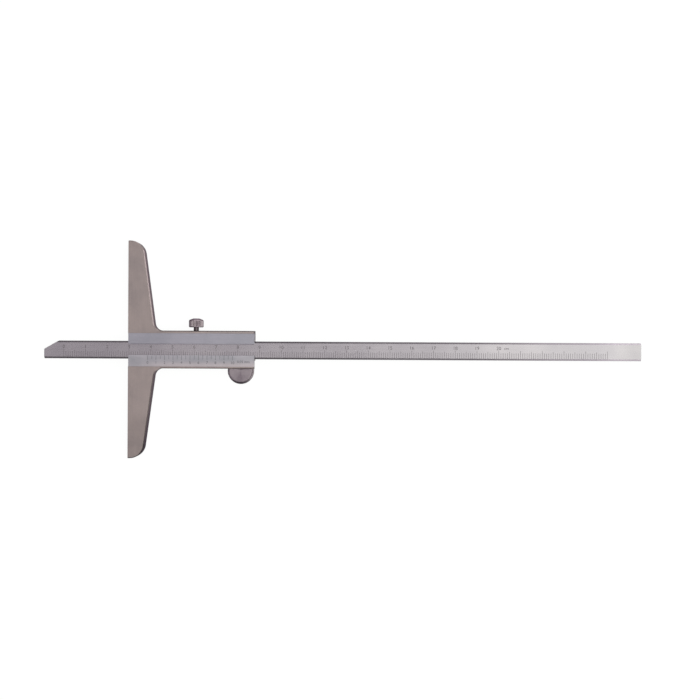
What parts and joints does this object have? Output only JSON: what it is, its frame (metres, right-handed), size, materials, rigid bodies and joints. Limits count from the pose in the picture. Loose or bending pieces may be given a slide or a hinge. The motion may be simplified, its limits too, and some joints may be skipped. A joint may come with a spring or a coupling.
{
  "type": "vernier depth gauge",
  "caption": "Vernier depth gauge: a graduated beam slides through a T-shaped foot with vernier plate, knurled locking screw and thumb roller.",
  "frame": {"origin": "on the measuring face, where the beam's centre line crosses it, at the level of the flat back", "axes": "+X along the beam from the measuring face towards the slider and the beam's plain end, +Y across it towards the locking screw, +Z out of the scale face"},
  "size_m": [0.2745, 0.1, 0.0076],
  "materials": {
    "foot_steel": "satin stainless steel, warm grey",
    "plate_steel": "ground stainless steel, cool grey",
    "vernier_steel": "satin chromed stainless steel with dark scale marks",
    "beam_steel": "satin chromed stainless steel with dark scale marks",
    "knob_steel": "knurled steel",
    "roller_steel": "turned steel face",
    "screw_steel": "dark steel",
    "axle_steel": "ground steel pin",
    "spring_steel": "blued spring steel",
    "gib_bronze": "bearing bronze",
    "pad_brass": "plain brass"
  },
  "bodies": {
    "slider": {"slider_body": "foot_steel", "upper_guide_plate": "plate_steel", "vernier_plate": "vernier_steel", "guide_plate_screws": "screw_steel", "vernier_plate_screws": "screw_steel", "gib_strip": "gib_bronze", "gib_screws": "screw_steel", "roller_spring_arm": "spring_steel", "roller_bush": "gib_bronze", "arm_screws": "screw_steel"},
    "depth_beam": {"beam": "beam_steel"},
    "clamp_pad": {"lock_pad": "pad_brass"},
    "clamp_screw": {"lock_screw": "knob_steel"},
    "roller": {"thumb_roller": "roller_steel", "roller_axle": "axle_steel", "roller_retaining_ring": "spring_steel"}
  },
  "joints": [
    {"name": "beam_slide", "type": "slide", "parent": "slider", "child": "depth_beam", "axis": [-1, 0, 0], "range_m": [-0.0387, 0.1613]},
    {"name": "pad_slide", "type": "slide", "parent": "slider", "child": "clamp_pad", "axis": [0, -1, 0], "range_m": [-0.000675, 0.0001125]},
    {"name": "lock_turn", "type": "hinge", "parent": "clamp_pad", "child": "clamp_screw", "pos_m": [0.031, 0.00578, 0.0042], "axis": [0, -1, 0], "range_deg": [-540.5, 90.5]},
    {"name": "roller_spin", "type": "hinge", "parent": "slider", "child": "roller", "pos_m": [0.0515, -0.00947, 0], "axis": [0, 0, 1], "continuous": true}
  ],
  "couplings": [
    {"joint": "roller_spin", "follows": "beam_slide", "rad_per_m": 186.92},
    {"joint": "lock_turn", "follows": "pad_slide", "rad_per_m": 13963}
  ]
}
